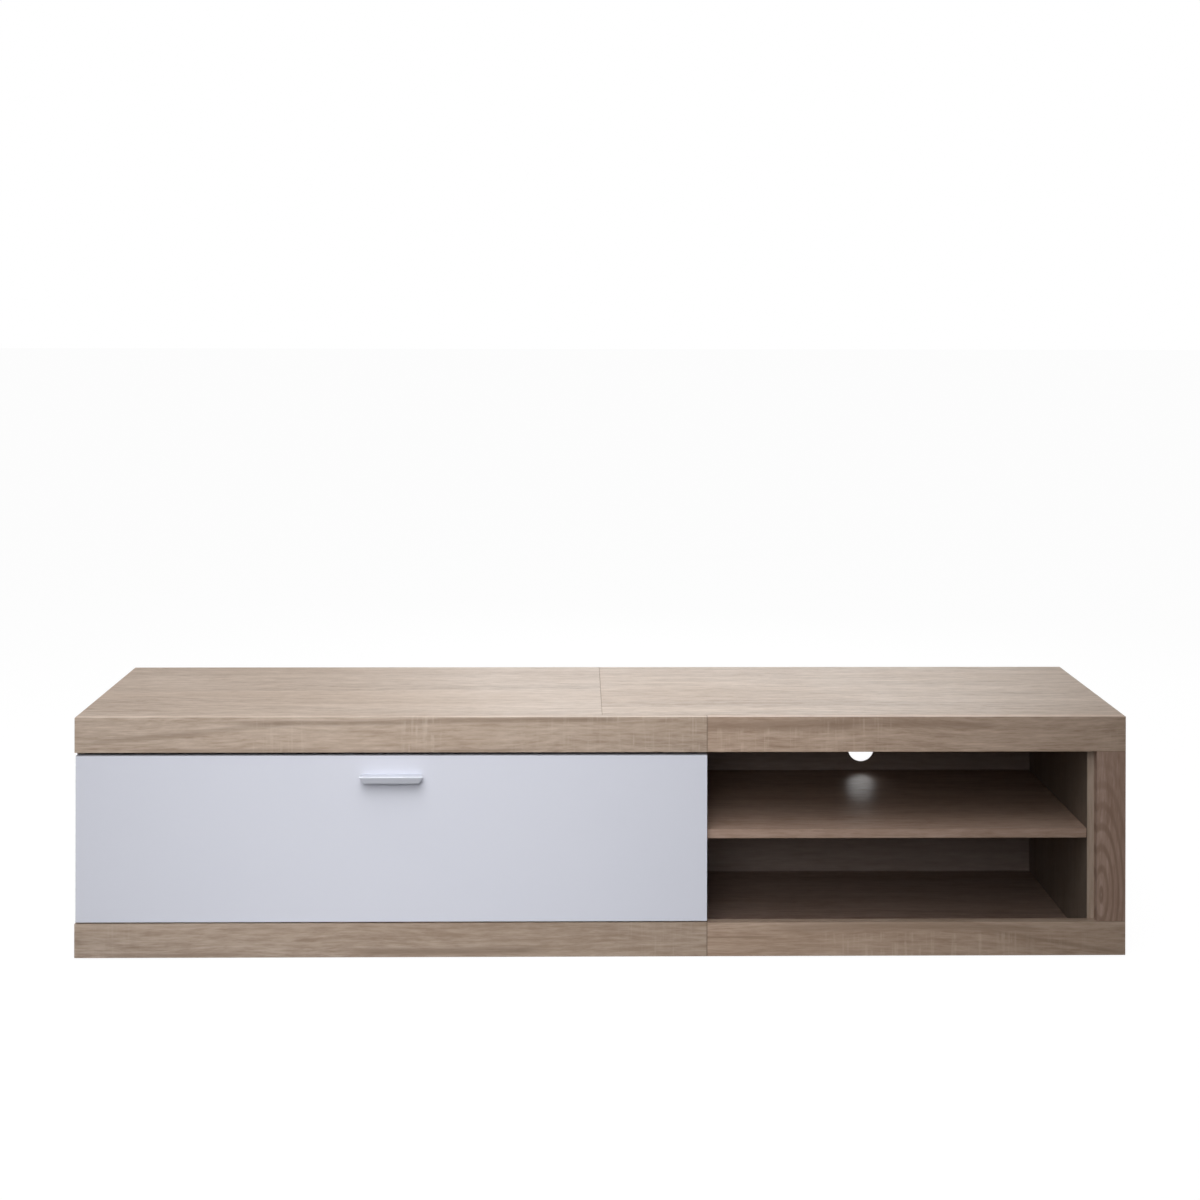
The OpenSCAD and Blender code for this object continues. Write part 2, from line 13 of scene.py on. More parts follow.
import bpy
import numpy as np
from mathutils import Euler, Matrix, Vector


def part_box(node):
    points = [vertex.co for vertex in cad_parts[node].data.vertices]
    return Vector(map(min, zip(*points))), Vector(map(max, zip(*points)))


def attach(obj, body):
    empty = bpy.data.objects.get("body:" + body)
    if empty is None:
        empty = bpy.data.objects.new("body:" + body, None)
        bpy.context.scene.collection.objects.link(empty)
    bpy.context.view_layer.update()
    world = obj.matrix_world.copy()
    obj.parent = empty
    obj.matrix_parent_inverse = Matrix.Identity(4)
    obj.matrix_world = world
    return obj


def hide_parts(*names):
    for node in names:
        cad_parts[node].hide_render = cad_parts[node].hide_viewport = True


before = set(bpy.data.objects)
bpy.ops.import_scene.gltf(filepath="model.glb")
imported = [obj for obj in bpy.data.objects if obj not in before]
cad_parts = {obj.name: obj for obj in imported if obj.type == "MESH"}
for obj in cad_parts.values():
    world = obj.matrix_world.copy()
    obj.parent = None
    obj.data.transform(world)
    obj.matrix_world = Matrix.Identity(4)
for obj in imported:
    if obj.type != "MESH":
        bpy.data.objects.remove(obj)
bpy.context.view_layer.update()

log = logging.getLogger("tv_stand")

MM = 0.001
HINGES = (1, 2, 3)
SIDES = ("left", "right")
SHARP = math.radians(40.0)
WHITE = (1.0, 1.0, 1.0, 1.0)
Triple = tuple[float, float, float]
Socket = bpy.types.NodeSocket
Material = bpy.types.Material
Tree = bpy.types.NodeTree
Piece = bpy.types.Object


# ---- node wiring


class Wiring:
    """Adds nodes to one tree and joins them."""

    def __init__(self, tree: Tree) -> None:
        """Takes the tree that the nodes go into.

        Args:
            tree: a material's, a world's or a group's tree.
        """
        self.tree = tree

    def add(self, kind: str, sockets: dict, **settings: object) -> bpy.types.Node:
        """Adds one node.

        Args:
            kind: Blender's name of the node's class, after its ShaderNode.
            sockets: what each input gets, a plain value or another node's output.
            settings: the node's own properties.

        Returns:
            The new node.
        """
        node = self.tree.nodes.new(f"ShaderNode{kind}")
        for name, value in settings.items():
            setattr(node, name, value)
        self.feed(node, sockets)
        return node

    def feed(self, node: bpy.types.Node, sockets: dict) -> None:
        """Sets a node's inputs.

        Args:
            node: the node.
            sockets: what each input gets, a plain value or another node's output.
        """
        for name, value in sockets.items():
            if isinstance(value, Socket):
                self.tree.links.new(value, node.inputs[name])
            else:
                node.inputs[name].default_value = value

    def link(self, value: Socket, goal: Socket) -> None:
        """Leads an output to an input."""
        self.tree.links.new(value, goal)

    def shared(self, group: Tree, **inputs: object) -> bpy.types.bpy_prop_collection:
        """Adds a shared group, and returns its outputs by name."""
        return self.add("Group", inputs, node_tree=group).outputs

    def math(self, operation: str, *terms: object, clamp: bool = False) -> Socket:
        """Combines up to three numbers.

        Args:
            operation: the Math node's operation.
            terms: numbers or outputs.
            clamp: True to keep the result between 0 and 1.

        Returns:
            The result's output.
        """
        return self.add("Math", dict(enumerate(terms)), operation=operation, use_clamp=clamp).outputs[0]

    def times(self, first: object, second: object) -> Socket:
        """One number times another."""
        return self.math("MULTIPLY", first, second)

    def less(self, first: object, second: object) -> Socket:
        """One number less another."""
        return self.math("SUBTRACT", first, second)

    def madd(self, value: object, factor: object, start: object, clamp: bool = False) -> Socket:
        """A number times a factor, on top of a starting number."""
        return self.math("MULTIPLY_ADD", value, factor, start, clamp=clamp)

    def vector(self, operation: str, *terms: object) -> Socket:
        """Combines vectors, and returns the result's output."""
        return self.add("VectorMath", dict(enumerate(terms)), operation=operation).outputs[0]

    def parts(self, vector: Socket) -> list[Socket]:
        """Splits a vector into its three numbers."""
        return list(self.add("SeparateXYZ", {0: vector}).outputs)

    def joined(self, *numbers: object) -> Socket:
        """Makes one vector of three numbers."""
        return self.add("CombineXYZ", dict(enumerate(numbers))).outputs[0]

    def noise(self, place: Socket, scale: float | Triple, detail: float = 2.0, rough: float = 0.5) -> Socket:
        """Cloudy noise, as fine in every direction or stretched by its own scale along each axis.

        Args:
            place: coordinates in metres.
            scale: waves in a metre, one number or one for each axis.
            detail: octaves.
            rough: share of the finer octaves.

        Returns:
            A value from 0 to 1 around 0.5.
        """
        stretched = self.vector("MULTIPLY", place, scale if isinstance(scale, tuple) else (scale,) * 3)
        waves = {"Vector": stretched, "Scale": 1.0, "Detail": detail, "Roughness": rough}
        return self.add("TexNoise", waves).outputs["Fac"]

    def ease(self, value: object, start: float, end: float, low: float = 0.0, high: float = 1.0) -> Socket:
        """A smooth step: low below start, high above end."""
        limits = {"Value": value, "From Min": start, "From Max": end, "To Min": low, "To Max": high}
        return self.add("MapRange", limits, interpolation_type="SMOOTHSTEP").outputs[0]

    def blend(self, share: object, first: object, second: object, mode: str = "MIX") -> Socket:
        """Mixes two colours.

        Args:
            share: how much of the second one shows.
            first: colour, or an output.
            second: colour, or an output.
            mode: the Mix node's blend type.

        Returns:
            The mixed colour's output.
        """
        sockets = {0: share, 6: opaque(first), 7: opaque(second)}
        return self.add("Mix", sockets, data_type="RGBA", blend_type=mode).outputs[2]

    def ramp(self, value: Socket, stops: Sequence[tuple[float, Triple]]) -> Socket:
        """A colour read off a ramp.

        Args:
            value: place on the ramp, 0 to 1.
            stops: (place, colour) pairs in order.

        Returns:
            The colour's output.
        """
        node = self.add("ValToRGB", {0: value})
        band = node.color_ramp.elements
        while len(band) < len(stops):
            band.new(0.5)
        for element, (at, colour) in zip(band, stops):
            element.position = at
            element.color = (*colour, 1.0)
        return node.outputs[0]

    def bump(self, height: Socket, depth: float, strength: float = 1.0) -> Socket:
        """A normal that leans as a height of the given depth would, in metres."""
        return self.add("Bump", {"Height": height, "Distance": depth, "Strength": strength}).outputs[0]


def opaque(colour: object) -> object:
    """Adds a full alpha to a plain colour, and leaves an output as it is."""
    return (*colour, 1.0) if isinstance(colour, tuple) and len(colour) == 3 else colour


def shader_group(name: str, inputs: dict[str, object], outputs: Sequence[str]) -> tuple[Wiring, dict, dict]:
    """Starts a node group with named inputs and outputs.

    Args:
        name: the group's name.
        inputs: each input's starting value; a triple makes a vector.
        outputs: the names of the outputs, all numbers.

    Returns:
        Its wiring, its inputs by name, and its output sockets by name.
    """
    group = bpy.data.node_groups.new(name, "ShaderNodeTree")
    for label, value in inputs.items():
        kind = "NodeSocketVector" if isinstance(value, tuple) else "NodeSocketFloat"
        group.interface.new_socket(label, in_out="INPUT", socket_type=kind).default_value = value
    for label in outputs:
        group.interface.new_socket(label, in_out="OUTPUT", socket_type="NodeSocketFloat")
    entry = group.nodes.new("NodeGroupInput").outputs
    leave = group.nodes.new("NodeGroupOutput").inputs
    return Wiring(group), {n: entry[n] for n in inputs}, {n: leave[n] for n in outputs}


@cache
def oak_figure() -> Tree:
    """The printed figure of rough-sawn oak, on coordinates whose first number runs along the grain.

    Returns:
        A group with the outputs Tone (0 dark, 1 light), Warmth, Pores, Drift (sideways wander of the fibres in
        metres), Mottle, Bars (marks of a frame saw across the grain) and Relief.
    """
    inputs = {"Place": (0.0, 0.0, 0.0), "Shift": 0.0, "Arches": 0.045}
    labels = ["Tone", "Warmth", "Pores", "Drift", "Mottle", "Bars", "Relief"]
    wire, given, leave = shader_group("oak_figure", inputs, labels)
    away = wire.joined(*(wire.times(given["Shift"], stride) for stride in (3.17, 1.31, 0.73)))
    place = wire.vector("ADD", given["Place"], away)
    # The fibres wander sideways by about a centimetre in a metre
    wander = wire.less(wire.noise(place, (1.5, 4.0, 4.0), 2.0), 0.5)
    drift = wire.joined(0.0, wire.times(wander, 0.06), wire.times(wander, 0.05))
    fibres = wire.vector("ADD", place, drift)
    broad = wire.noise(fibres, (0.9, 15.0, 15.0), 3.0, 0.55)
    streak = wire.noise(fibres, (5.0, 85.0, 85.0), 4.0, 0.65)
    fine = wire.noise(fibres, (22.0, 420.0, 420.0), 3.0, 0.65)
    mottle = wire.noise(fibres, (26.0, 190.0, 190.0), 3.0, 0.62)
    # Cathedral arches: level lines of a long shallow dish, bent by the same wander
    along, across, _ = wire.parts(wire.vector("ADD", given["Place"], drift))
    dish = wire.times(wire.math("POWER", wire.math("ABSOLUTE", across), 2.0), 9000.0)
    level = wire.math("ADD", dish, wire.times(along, 16.0))
    arches = wire.math("SINE", wire.madd(broad, 30.0, level))
    pores = wire.ease(wire.noise(fibres, (60.0, 1500.0, 1500.0), 1.0), 0.58, 0.68)
    tone = 0.5
    for layer, weight in ((broad, 1.1), (streak, 0.9), (fine, 0.7), (mottle, 1.15)):
        tone = wire.madd(wire.less(layer, 0.5), weight, tone)
    tone = wire.madd(arches, given["Arches"], tone)
    tone = wire.madd(pores, -0.12, tone, clamp=True)
    warmth = wire.ease(wire.noise(fibres, (0.7, 9.0, 9.0), 2.0), 0.42, 0.68)
    # A frame saw leaves light bars across the grain, about a centimetre apart and broken along their length
    bars = wire.ease(wire.noise(place, (190.0, 9.0, 9.0), 1.5, 0.6), 0.48, 0.70)
    broken = wire.ease(wire.noise(place, (80.0, 60.0, 60.0), 1.0), 0.28, 0.62)
    bars = wire.times(bars, broken)
    relief = wire.madd(pores, -0.8, wire.times(fine, 0.6))
    drifted = wire.times(wander, 0.03)
    for label, value in zip(labels, (tone, warmth, pores, drifted, mottle, bars, relief)):
        wire.link(value, leave[label])
    return wire.tree


@cache
def edge_line() -> Tree:
    """Marks the edges of an upright box: where two of the three distances to its faces are both small.

    Returns:
        A group with the output Line, 1 on an edge and 0 a line's width away from it.
    """
    inputs = {"Place": (0.0, 0.0, 0.0), "Low": (0.0, 0.0, 0.0), "High": (1.0, 1.0, 1.0), "Width": 0.001}
    wire, given, leave = shader_group("edge_line", inputs, ["Line"])
    below = wire.vector("SUBTRACT", given["Place"], given["Low"])
    above = wire.vector("SUBTRACT", given["High"], given["Place"])
    a, b, c = wire.parts(wire.vector("MINIMUM", below, above))
    # The middle one of the three distances
    second = wire.math("MAXIMUM", wire.math("MINIMUM", a, b), wire.math("MINIMUM", wire.math("MAXIMUM", a, b), c))
    near = wire.math("DIVIDE", second, given["Width"])
    wire.link(wire.ease(near, 0.0, 1.0, 1.0, 0.0), leave["Line"])
    return wire.tree


@cache
def handling() -> Tree:
    """Faint clouds and rubbed spots that handling leaves on any surface.

    Returns:
        A group with the outputs Cloud and Rub, both 0 to 1.
    """
    wire, given, leave = shader_group("handling", {"Place": (0.0, 0.0, 0.0), "Size": 1.0}, ["Cloud", "Rub"])
    place = wire.vector("MULTIPLY", given["Place"], wire.joined(*[given["Size"]] * 3))
    wire.link(wire.ease(wire.noise(place, 3.0, 3.0, 0.6), 0.3, 0.7), leave["Cloud"])
    wire.link(wire.ease(wire.noise(place, 14.0, 5.0, 0.7), 0.56, 0.74), leave["Rub"])
    return wire.tree


@cache
def brushing() -> Tree:
    """Hairlines of a brushed or rolled metal, along the first coordinate.

    Returns:
        A group with the outputs Lines and Patches, both around 0.5.
    """
    wire, given, leave = shader_group("brushing", {"Place": (0.0, 0.0, 0.0)}, ["Lines", "Patches"])
    wire.link(wire.noise(given["Place"], (25.0, 3200.0, 3200.0), 3.0, 0.7), leave["Lines"])
    wire.link(wire.noise(given["Place"], (60.0, 90.0, 90.0), 3.0, 0.6), leave["Patches"])
    return wire.tree


# ---- finishes


class Grain(Enum):
    """Which axes run along, across and through a board's grain."""

    LENGTHWISE = (0, 1, 2)
    FRONT = (0, 2, 1)
    UPRIGHT = (2, 1, 0)
    UPRIGHT_FRONT = (2, 0, 1)
    BACKWARD = (1, 0, 2)


class Side(IntEnum):
    """A board's sides: the axis that each looks along, negative where it looks down the axis."""

    LEFT = -1
    RIGHT = 1
    FRONT = -2
    REAR = 2
    UNDER = -3
    TOP = 3


@dataclass(frozen=True)
class Box:
    """An upright box between two corners, in metres."""

    low: Triple
    high: Triple

    @classmethod
    def of_node(cls, node: str) -> "Box":
        """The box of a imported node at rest."""
        low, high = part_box(node)
        return cls(tuple(low), tuple(high))

    def pulled_in(self, low: Triple = (0.0, 0.0, 0.0), high: Triple = (0.0, 0.0, 0.0)) -> "Box":
        """The same box with each face moved inward by the given amounts."""
        inner = (tuple(a + b for a, b in zip(self.low, low)), tuple(a - b for a, b in zip(self.high, high)))
        return Box(*inner)

    def centre(self) -> Triple:
        """The middle of the box."""
        return tuple((a + b) / 2 for a, b in zip(self.low, self.high))


def cleared(owner: Material | bpy.types.World) -> Tree:
    """Switches on the nodes of a material or a world, and empties them.

    Args:
        owner: the material or the world.

    Returns:
        Its empty tree.
    """
    owner.use_nodes = True
    owner.node_tree.nodes.clear()
    return owner.node_tree


class Surface(Wiring):
    """The wiring of a material with one Principled shader."""

    def __init__(self, name: str) -> None:
        """Starts the material.

        Args:
            name: the material's name.
        """
        self.material = bpy.data.materials.new(name)
        super().__init__(cleared(self.material))
        self.shader = self.add("BsdfPrincipled", {})
        self.add("OutputMaterial", {"Surface": self.shader.outputs[0]})
        self.place = self.add("TexCoord", {}).outputs["Object"]

    def turned(self, grain: Grain, place: Socket) -> Socket:
        """Coordinates that run along, across and through the grain."""
        axes = self.parts(place)
        return self.joined(*[axes[i] for i in grain.value])

    def finish(
        self, colour: Socket, rough: Socket, relief: Socket, depth: float, strength: float, **more: float
    ) -> Material:
        """Sends the looks to the shader.

        Args:
            colour: the base colour.
            rough: the roughness.
            relief: the height of the fine relief.
            depth: the relief's depth in metres.
            strength: how much of it shows.
            more: plain values for other inputs of the shader.

        Returns:
            The material.
        """
        normal = self.bump(relief, depth, strength)
        self.feed(self.shader, {"Base Color": colour, "Roughness": rough, "Normal": normal, **more})
        return self.material


def scaled(colour: Triple, factor: float | Triple) -> Triple:
    """A colour made lighter or darker, evenly or channel by channel."""
    share = factor if isinstance(factor, tuple) else (factor,) * 3
    return tuple(channel * part for channel, part in zip(colour, share))


def within(wire: Wiring, value: Socket, low: float, high: float, fade: float) -> Socket:
    """A mask that is 1 between two limits and fades away outside them.

    Args:
        wire: the material's wiring.
        value: what is measured.
        low: the lower limit.
        high: the upper limit.
        fade: how far the mask takes to fade.

    Returns:
        The mask.
    """
    rise = wire.ease(value, low - fade, low)
    fall = wire.ease(value, high, high + fade, 1.0, 0.0)
    return wire.times(rise, fall)


@dataclass(frozen=True)
class Streak:
    """A darker band that runs along the grain, placed from the board's middle, in metres."""

    start: float
    end: float
    across: float
    half: float
    depth: float
    slope: float = 0.0

    def mask(self, wire: Wiring, along: Socket, across: Socket) -> Socket:
        """How strong the band is at each point: full on its middle line, nothing past its half width.

        Args:
            wire: the material's wiring.
            along: distance along the grain.
            across: distance across it, bent with the fibres.

        Returns:
            The band's strength.
        """
        run = wire.less(along, self.start)
        line = wire.madd(run, self.slope, self.across)
        off = wire.math("ABSOLUTE", wire.less(across, line))
        body = wire.ease(off, 0.15 * self.half, self.half, self.depth, 0.0)
        return wire.times(body, within(wire, along, self.start, self.end, 0.06))


@dataclass(frozen=True)
class SawPatch:
    """Where saw marks show, placed from the board's middle, in metres."""

    start: float
    end: float
    strength: float
    high: float = 1.0

    def mask(self, wire: Wiring, along: Socket, across: Socket) -> Socket:
        """How strong the marks are at each point.

        Args:
            wire: the material's wiring.
            along: distance along the grain.
            across: distance across it.

        Returns:
            The strength.
        """
        length = within(wire, along, self.start, self.end, 0.03)
        height = wire.ease(across, self.high, self.high + 0.012, 1.0, 0.0)
        return wire.times(wire.times(length, height), self.strength)


@dataclass(frozen=True)
class Rings:
    """Long oval growth rings round a point, as where a branch began, placed from the board's middle, in metres."""

    along: float
    across: float
    pitch: float
    depth: float
    stretch: float = 4.0
    reach: float = 0.05

    def mask(self, wire: Wiring, along: Socket, across: Socket) -> Socket:
        """How dark each ring is: a sine of the oval distance from the middle, weaker further out.

        Args:
            wire: the material's wiring.
            along: distance along the grain.
            across: distance across it, bent with the fibres.

        Returns:
            The rings' strength.
        """
        run = wire.math("DIVIDE", wire.less(along, self.along), self.stretch)
        away = wire.less(across, self.across)
        squares = wire.math("ADD", wire.times(run, run), wire.times(away, away))
        distance = wire.math("SQRT", squares)
        wave = wire.math("SINE", wire.times(distance, 2.0 * math.pi / self.pitch))
        fade = wire.ease(distance, 0.3 * self.reach, self.reach, self.depth, 0.0)
        return wire.times(wire.ease(wave, -0.2, 1.0), fade)


@dataclass(frozen=True)
class PaintedSideStrip:
    """A strip along one side of a board, darker or lighter than its faces: painted shade or painted light along that
    side, such as painted shade in a joint.
    """

    side: Side
    tone: float
    width: float = 0.3 * MM

    def shade(self, wire: Surface, colour: Socket, board: Box) -> Socket:
        """Lays the strip over a colour: in full on its side, and gone a little past twice its width.

        Args:
            wire: the material's wiring.
            colour: the colour of the faces.
            board: the board's box.

        Returns:
            The colour with the strip.
        """
        axis = abs(self.side) - 1
        plane = board.low[axis] if self.side < 0 else board.high[axis]
        off = wire.math("ABSOLUTE", wire.less(wire.parts(wire.place)[axis], plane))
        strip = wire.ease(off, self.width, 2.2 * self.width, 1.0, 0.0)
        return wire.blend(strip, colour, (self.tone,) * 3, "MULTIPLY")


@dataclass(frozen=True)
class OakDecor:
    """Printed oak foil on board: a light grey-beige ground with long streaks, pores and light saw marks."""

    name: str
    grain: Grain = Grain.LENGTHWISE
    shift: float = 0.0
    tone: float | Triple = 1.0
    contrast: float = 0.88
    arches: float = 0.03
    marks: tuple[Streak | Rings, ...] = ()
    sawn: tuple[SawPatch, ...] = ()
    # Strips of painted light and painted shade along chosen sides of the board.
    painted_strips: tuple[PaintedSideStrip, ...] = ()
    rough: float = 0.42
    specular: float = 0.5
    edge_shade_width: float = 1.2 * MM
    dark: Triple = (0.320, 0.232, 0.172)
    middle: Triple = (0.470, 0.368, 0.292)
    light: Triple = (0.610, 0.500, 0.415)
    warm: Triple = (0.480, 0.352, 0.255)
    deep: Triple = (0.230, 0.160, 0.112)
    bar: Triple = (0.700, 0.600, 0.510)

    def figure(self, wire: Surface, middle: Triple) -> tuple[Socket, dict]:
        """Lays the oak figure, its streaks and its saw marks on a board.

        Args:
            wire: the material's wiring.
            middle: the board's middle.

        Returns:
            The colour, and the figure's outputs by name with Saw added, 0 on a board without saw marks.
        """
        grained = wire.turned(self.grain, wire.vector("SUBTRACT", wire.place, middle))
        out = dict(wire.shared(oak_figure(), Place=grained, Shift=self.shift, Arches=self.arches).items())
        along, across, _ = wire.parts(grained)
        bent = wire.math("ADD", across, out["Drift"])
        level = wire.madd(wire.less(out["Tone"], 0.5), self.contrast, 0.5, clamp=True)
        stops = [(0.12, self.dark), (0.48, self.middle), (0.86, self.light)]
        colour = wire.ramp(level, [(at, scaled(c, self.tone)) for at, c in stops])
        colour = wire.blend(wire.times(out["Warmth"], 0.25), colour, scaled(self.warm, self.tone))
        mottled = wire.ease(out["Mottle"], 0.30, 0.62, 0.35, 1.0)
        for mark in self.marks:
            share = wire.times(mark.mask(wire, along, bent), mottled)
            colour = wire.blend(share, colour, scaled(self.deep, self.tone))
        out["Saw"] = 0.0
        for patch in self.sawn:
            share = wire.times(out["Bars"], patch.mask(wire, along, across))
            out["Saw"] = wire.math("MAXIMUM", out["Saw"], share)
        if self.sawn:
            colour = wire.blend(wire.times(out["Saw"], 0.42), colour, scaled(self.bar, self.tone))
        return colour, out

    def build(self, board: Box) -> Material:
        """Makes the material.

        Args:
            board: the board's box, whose edges get a dark line of painted shade.

        Returns:
            The material.
        """
        wire = Surface(self.name)
        colour, out = self.figure(wire, board.centre())
        # Lays the strips of painted light and painted shade.
        for painted_strips in self.painted_strips:
            colour = painted_strips.shade(wire, colour, board)
        cloud = wire.shared(handling(), Place=wire.place)["Cloud"]
        # Painted shade: a dark line along every edge, standing in for the shadow line at the arrises.
        line = wire.shared(edge_line(), Place=wire.place, Low=board.low, High=board.high, Width=self.edge_shade_width)["Line"]
        colour = wire.blend(wire.times(line, 0.45), colour, scaled(self.deep, self.tone))
        rough, relief = self.rough, out["Relief"]
        shares = [(out["Pores"], 0.18), (cloud, 0.06), (line, 0.10)]
        if self.sawn:
            shares.insert(1, (out["Saw"], 0.12))
            relief = wire.madd(out["Saw"], -0.5, relief)
        for layer, share in shares:
            rough = wire.madd(layer, share, rough)
        return wire.finish(colour, rough, relief, 0.12 * MM, 0.6, **{"Specular IOR Level": self.specular})


@dataclass(frozen=True)
class WhiteFoil:
    """Matt white foil, faintly cool, with the fine skin of a sprayed surface."""

    name: str = "white_foil"
    ground: Triple = (0.760, 0.775, 0.860)
    shade: Triple = (0.735, 0.752, 0.840)
    line: float = 0.9 * MM
    painted_top_shade: PaintedSideStrip = PaintedSideStrip(Side.TOP, 0.5)

    def build(self, board: Box) -> Material:
        """Makes the material.

        Args:
            board: the flap's box, whose edges get a fine line and whose top side gets a strip of painted shade.

        Returns:
            The material.
        """
        wire = Surface(self.name)
        hands = wire.shared(handling(), Place=wire.place)
        line = wire.shared(edge_line(), Place=wire.place, Low=board.low, High=board.high, Width=self.line)["Line"]
        colour = wire.blend(wire.times(hands["Cloud"], 0.35), self.ground, self.shade)
        colour = wire.blend(wire.times(line, 0.30), colour, scaled(self.shade, 0.7))
        # Painted shade: a darker strip on the flap's top side, standing in for the shadow in the gap above it.
        colour = self.painted_top_shade.shade(wire, colour, board)
        skin = wire.noise(wire.place, 900.0, 2.0, 0.6)
        rough = wire.madd(skin, 0.08, wire.madd(hands["Rub"], -0.07, 0.46))
        return wire.finish(colour, rough, skin, 0.03 * MM, 0.35)


@dataclass(frozen=True)
class Chipboard:
    """Sawn, unedged particle board: pale and dark chips pressed flat."""

    name: str = "raw_chipboard"

    def build(self) -> Material:
        """Makes the material.

        Returns:
            The material.
        """
        wire = Surface(self.name)
        spread = wire.vector("MULTIPLY", wire.place, (260.0, 260.0, 620.0))
        chips = wire.add("TexVoronoi", {"Vector": spread, "Scale": 1.0, "Randomness": 1.0})
        tone, other, _ = wire.add("SeparateColor", {0: chips.outputs["Color"]}).outputs
        dust = wire.noise(wire.place, 1400.0, 2.0, 0.6)
        level = wire.madd(dust, 0.5, wire.times(tone, 0.6), clamp=True)
        stops = [(0.15, (0.20, 0.125, 0.07)), (0.55, (0.44, 0.31, 0.19)), (0.95, (0.62, 0.48, 0.33))]
        rough = wire.madd(other, 0.15, 0.78)
        relief = wire.math("ADD", chips.outputs["Distance"], dust)
        return wire.finish(wire.ramp(level, stops), rough, relief, 0.25 * MM, 0.6)


@cache
def raw_board() -> Material:
    """The one material of all sawn, unedged sides."""
    return Chipboard().build()


@dataclass(frozen=True)
class Hardboard:
    """Thin hardboard: printed oak in front, and bare brown pressed fibre behind its middle plane."""

    name: str
    face: OakDecor
    middle: Triple

    def build(self) -> Material:
        """Makes the material.

        Returns:
            The material.
        """
        wire = Surface(self.name)
        print_colour, _ = self.face.figure(wire, self.middle)
        fibre = wire.noise(wire.place, 500.0, 4.0, 0.7)
        blotch = wire.noise(wire.place, 6.0, 3.0, 0.6)
        bare = wire.ramp(
            wire.madd(blotch, 0.5, wire.times(fibre, 0.5)),
            [(0.3, (0.17, 0.105, 0.06)), (0.5, (0.25, 0.165, 0.10)), (0.7, (0.34, 0.235, 0.15))],
        )
        behind = wire.ease(wire.parts(wire.place)[1], self.middle[1], self.middle[1] + 0.2 * MM)
        rough = wire.madd(behind, 0.28, 0.46)
        return wire.finish(wire.blend(behind, print_colour, bare), rough, fibre, 0.10 * MM, 0.5)


@dataclass(frozen=True)
class Metal:
    """A plated, rolled or anodised metal with hairlines along one axis."""

    name: str
    colour: Triple
    rough: float = 0.32
    metallic: float = 1.0
    grain: Grain = Grain.LENGTHWISE
    hairlines: float = 0.12
    spangle: float = 0.05

    def build(self) -> Material:
        """Makes the material.

        Returns:
            The material.
        """
        wire = Surface(self.name)
        lines, patches = wire.shared(brushing(), Place=wire.turned(self.grain, wire.place))
        rubbed = wire.shared(handling(), Place=wire.place, Size=6.0)["Rub"]
        shade = wire.madd(lines, self.hairlines, wire.times(patches, self.spangle))
        colour = wire.blend(shade, self.colour, scaled(self.colour, 0.45))
        rough = wire.madd(lines, 2.0 * self.hairlines, self.rough - self.hairlines)
        rough = wire.madd(rubbed, 0.10, rough)
        return wire.finish(colour, rough, lines, 0.02 * MM, 0.4, Metallic=self.metallic)


@dataclass(frozen=True)
class Moulded:
    """Moulded plastic or rubber with a fine spark-eroded skin."""

    name: str
    colour: Triple
    rough: float = 0.45

    def build(self) -> Material:
        """Makes the material.

        Returns:
            The material.
        """
        wire = Surface(self.name)
        cloud = wire.shared(handling(), Place=wire.place, Size=8.0)["Cloud"]
        skin = wire.noise(wire.place, 2500.0, 2.0, 0.6)
        colour = wire.blend(wire.times(cloud, 0.4), self.colour, scaled(self.colour, 0.88))
        rough = wire.madd(skin, 0.2, self.rough - 0.1)
        return wire.finish(colour, rough, skin, 0.02 * MM, 0.5)


@dataclass(frozen=True)
class Beech:
    """Plain beech: a warm even wood with short dark flecks."""

    name: str = "plain_beech"

    def build(self) -> Material:
        """Makes the material.

        Returns:
            The material.
        """
        wire = Surface(self.name)
        rings = wire.noise(wire.place, (20.0, 300.0, 60.0), 3.0, 0.6)
        flecks = wire.ease(wire.noise(wire.place, (180.0, 1800.0, 900.0), 1.0), 0.60, 0.68)
        stops = [(0.3, (0.50, 0.33, 0.19)), (0.5, (0.62, 0.44, 0.27)), (0.7, (0.70, 0.53, 0.35))]
        colour = wire.blend(wire.times(flecks, 0.5), wire.ramp(rings, stops), (0.33, 0.19, 0.10))
        return wire.finish(colour, wire.madd(flecks, 0.1, 0.58), rings, 0.06 * MM, 0.5)


# ---- meshes


def each(kinds: Sequence[str], marks: Sequence[object]) -> tuple[str, ...]:
    """The names made of every kind with every mark, such as hinge_leaf_1."""
    return tuple(f"{kind}_{mark}" for kind in kinds for mark in marks)


def placed(name: str, data: bpy.types.ID) -> Piece:
    """Puts an object with this data into the scene.

    Args:
        name: the object's name.
        data: its mesh, lamp or camera.

    Returns:
        The new object.
    """
    made = bpy.data.objects.new(name, data)
    bpy.context.scene.collection.objects.link(made)
    return made


def make_piece(
    name: str, skin: tuple[np.ndarray, Sequence], rides: tuple[str, str, str], *materials: Material
) -> Piece:
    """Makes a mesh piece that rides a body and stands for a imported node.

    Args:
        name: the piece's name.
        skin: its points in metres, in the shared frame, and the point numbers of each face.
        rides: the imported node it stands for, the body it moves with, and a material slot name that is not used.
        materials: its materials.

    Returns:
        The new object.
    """
    (points, faces), (node, body, slot) = skin, rides
    mesh = bpy.data.meshes.new(name)
    mesh.from_pydata(np.asarray(points, float).tolist(), [], [list(map(int, face)) for face in faces])
    mesh.update()
    piece = placed(name, mesh)
    for material in materials:
        mesh.materials.append(material)
    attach(piece, body)
    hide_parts(node)
    log.info("%s: %d faces", name, len(mesh.polygons))
    return piece


